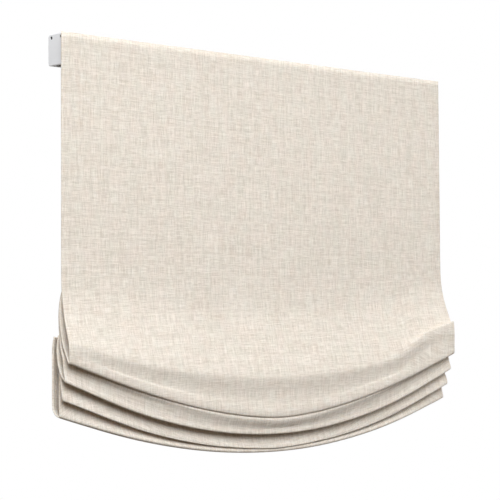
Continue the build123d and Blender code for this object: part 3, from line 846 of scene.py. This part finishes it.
ringLook = {
    "radius": 5.6 * mm,
    "wire": 1.0 * mm,
    "tilt": 40,
    "perColumn": 5,
    "seam": 0.12 * mm,  # the moulding line round the outside
    "threads": (-0.9 * mm, -0.1 * mm, 0.8 * mm),  # where the loops of thread cross the wire
    "threadRadius": 0.22 * mm,
    "threadTurn": 8,  # degrees from one loop to the next
    "loopShape": (1.15, 0.95, 1),
    "foldLoop": {"radius": 1.75 * mm, "forward": 0.5 * mm, "down": 0.7 * mm},
    "panelLoop": {"radius": 1.6 * mm, "forward": 0.3 * mm},
}


def buildRing(centre, tilt):
    bpy.ops.object.select_all(action="DESELECT")
    bpy.ops.mesh.primitive_torus_add(
        location=centre, rotation=(math.radians(tilt), 0, 0), major_segments=36, minor_segments=12,
        major_radius=ringLook["radius"], minor_radius=ringLook["wire"],
    )
    ring = bpy.context.object
    rim = ringLook["radius"] + 0.98 * ringLook["wire"]
    for vertex in ring.data.vertices:
        if vertex.co.xy.length > rim:
            vertex.co.xy *= 1 + ringLook["seam"] / vertex.co.xy.length
    bpy.ops.object.shade_smooth()
    return ring


def buildStitch(centre, radius, turn):
    # one loop of thread round the ring's wire and through the cloth
    bpy.ops.object.select_all(action="DESELECT")
    bpy.ops.mesh.primitive_torus_add(
        location=centre, rotation=(math.radians(turn), math.radians(90), 0),
        major_segments=14, minor_segments=6,
        major_radius=radius, minor_radius=ringLook["threadRadius"],
    )
    stitch = bpy.context.object
    stitch.scale = ringLook["loopShape"]
    bpy.ops.object.shade_smooth()
    return stitch


def buildRings(side):
    low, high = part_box("lift_rings_" + side)
    x, y = (low.x + high.x) / 2, (low.y + high.y) / 2
    tilt = math.radians(ringLook["tilt"])
    reach = ringLook["radius"] * math.sin(tilt) + ringLook["wire"]
    top, bottom = high.z - reach, low.z + reach
    foldLoop, panelLoop = ringLook["foldLoop"], ringLook["panelLoop"]
    rings, stitches = [], []
    for i in range(ringLook["perColumn"]):
        z = top + (bottom - top) * i / (ringLook["perColumn"] - 1)
        rings.append(buildRing((x, y, z), ringLook["tilt"]))
        foot = (y - ringLook["radius"] * math.cos(tilt), z - ringLook["radius"] * math.sin(tilt))
        for k, shift in enumerate(ringLook["threads"]):
            centre = (x + shift, foot[0] - foldLoop["forward"], foot[1] - foldLoop["down"])
            stitches.append(buildStitch(centre, foldLoop["radius"], ringLook["threadTurn"] * (k - 1)))
    panelLow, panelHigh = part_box("panel_rings")
    panelY, panelZ = (panelLow.y + panelHigh.y) / 2, (panelLow.z + panelHigh.z) / 2
    rings.append(buildRing((x, panelY, panelZ), 0))
    for k, shift in enumerate(ringLook["threads"]):
        centre = (x + shift, panelY - ringLook["radius"] - panelLoop["forward"], panelZ)
        stitches.append(buildStitch(centre, panelLoop["radius"], ringLook["threadTurn"] * (k - 1)))
    return rings, stitches


for side in ("left", "right"):
    buildLiftCord(side)
    buildCordTurns(side)
    rings, stitches = buildRings(side)
    ringPiece = joined(rings, "sewn_rings_" + side)
    ringPiece.data.materials.append(slotLooks["clear_plastic"])
    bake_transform(ringPiece)
    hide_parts("lift_rings_" + side, "panel_rings")
    stitchPiece = joined(stitches, "ring_stitches_" + side)
    stitchPiece.data.materials.append(threadLook)
    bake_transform(stitchPiece)
buildSpring()
print("cords, rings and spring: done")

# stage, light and camera

stageLook = {"floorZ": -1.3, "floorRadius": 3.4, "floorColour": (0.86, 0.86, 0.85)}


def buildStage():
    bpy.ops.object.select_all(action="DESELECT")
    bpy.ops.mesh.primitive_circle_add(
        vertices=96, radius=stageLook["floorRadius"], fill_type="NGON", location=(0, 0, stageLook["floorZ"])
    )
    floor = bpy.context.object
    floor.name = "studio_floor"
    paint = newMaterial("studioFloor", stageLook["floorColour"], 0.8)[0]
    floor.data.materials.append(paint)
    floor.visible_diffuse = False  # so that it doesn't light the blind from below


lightLook = {
    # name: place, aim, size in metres, watts
    "keyLight": ((-1.7, -2.7, 2.1), (0, 0, -0.3), 3.0, 205),
    "fillLight": ((2.9, -2.6, 0.8), (0, 0, -0.3), 2.0, 34),
}
lampColour = (0.90, 0.957, 1)
worldLook = {
    # how strong it is as the camera sees it, from behind the blind, from above and from below
    "seen": 1.0,
    "behind": 0.9,
    "above": 0.43,
    "below": 0.06,
    # its colour from below, from above and from behind
    "low": (1, 0.80, 0.60, 1),
    "high": (1, 0.91, 0.82, 1),
    "back": (0.87, 0.945, 1, 1),
    # how far the change from one to the other reaches
    "strengthRise": (-0.5, 0.8),
    "colourRise": (-0.5, 0.7),
    "backRise": (0, 0.7),
}


def aimedAt(place, target):
    return (Vector(target) - Vector(place)).to_track_quat("-Z", "Y")


def buildLights():
    for name, (place, target, size, power) in lightLook.items():
        lamp = bpy.data.lights.new(name, "AREA")
        lamp.shape = "SQUARE"
        lamp.size = size
        lamp.energy = power
        lamp.color = lampColour
        holder = bpy.data.objects.new(name, lamp)
        holder.location = place
        holder.rotation_mode = "QUATERNION"
        holder.rotation_quaternion = aimedAt(place, target)
        bpy.context.scene.collection.objects.link(holder)
    world = bpy.data.worlds.new("studioAir")
    world.use_nodes = True
    bpy.context.scene.world = world
    tree = world.node_tree
    background = tree.nodes["Background"]
    way = addNode(tree, "SeparateXYZ", {"Vector": addNode(tree, "TexCoord").outputs["Generated"]}).outputs
    backward, upward = way[1], way[2]
    sky = spread(tree, upward, *worldLook["strengthRise"], worldLook["below"], worldLook["above"])
    sky = spread(tree, backward, *worldLook["backRise"], sky, worldLook["behind"])
    seen = addNode(tree, "LightPath").outputs["Is Camera Ray"]
    strength = spread(tree, seen, 0, 1, sky, worldLook["seen"])
    tree.links.new(strength, background.inputs["Strength"])
    height = spread(tree, upward, *worldLook["colourRise"], 0, 1)
    tinge = mixColour(tree, height, worldLook["low"], worldLook["high"])
    tinge = mixColour(tree, spread(tree, backward, *worldLook["backRise"], 0, 1), tinge, worldLook["back"])
    tree.links.new(mixColour(tree, seen, tinge, (1, 1, 1, 1)), background.inputs["Color"])


cameraLook = {
    "place": (-1.6685, -1.8983, -0.3745),
    "yaw": 41.284,
    "pitch": 2.435,
    "roll": -0.363,
    "lens": 118.9,
    "sensor": 36,
}


def buildCamera():
    lens = bpy.data.cameras.new("camera")
    lens.lens = cameraLook["lens"]
    lens.sensor_width = cameraLook["sensor"]
    camera = bpy.data.objects.new("camera", lens)
    turn = (
        Matrix.Rotation(-math.radians(cameraLook["yaw"]), 4, "Z")
        @ Matrix.Rotation(math.radians(90 + cameraLook["pitch"]), 4, "X")
        @ Matrix.Rotation(math.radians(cameraLook["roll"]), 4, "Z")
    )
    camera.matrix_world = Matrix.Translation(cameraLook["place"]) @ turn
    bpy.context.scene.collection.objects.link(camera)
    bpy.context.scene.camera = camera


buildStage()
buildLights()
buildCamera()
bpy.context.scene.view_settings.view_transform = "Standard"
print("stage: done")
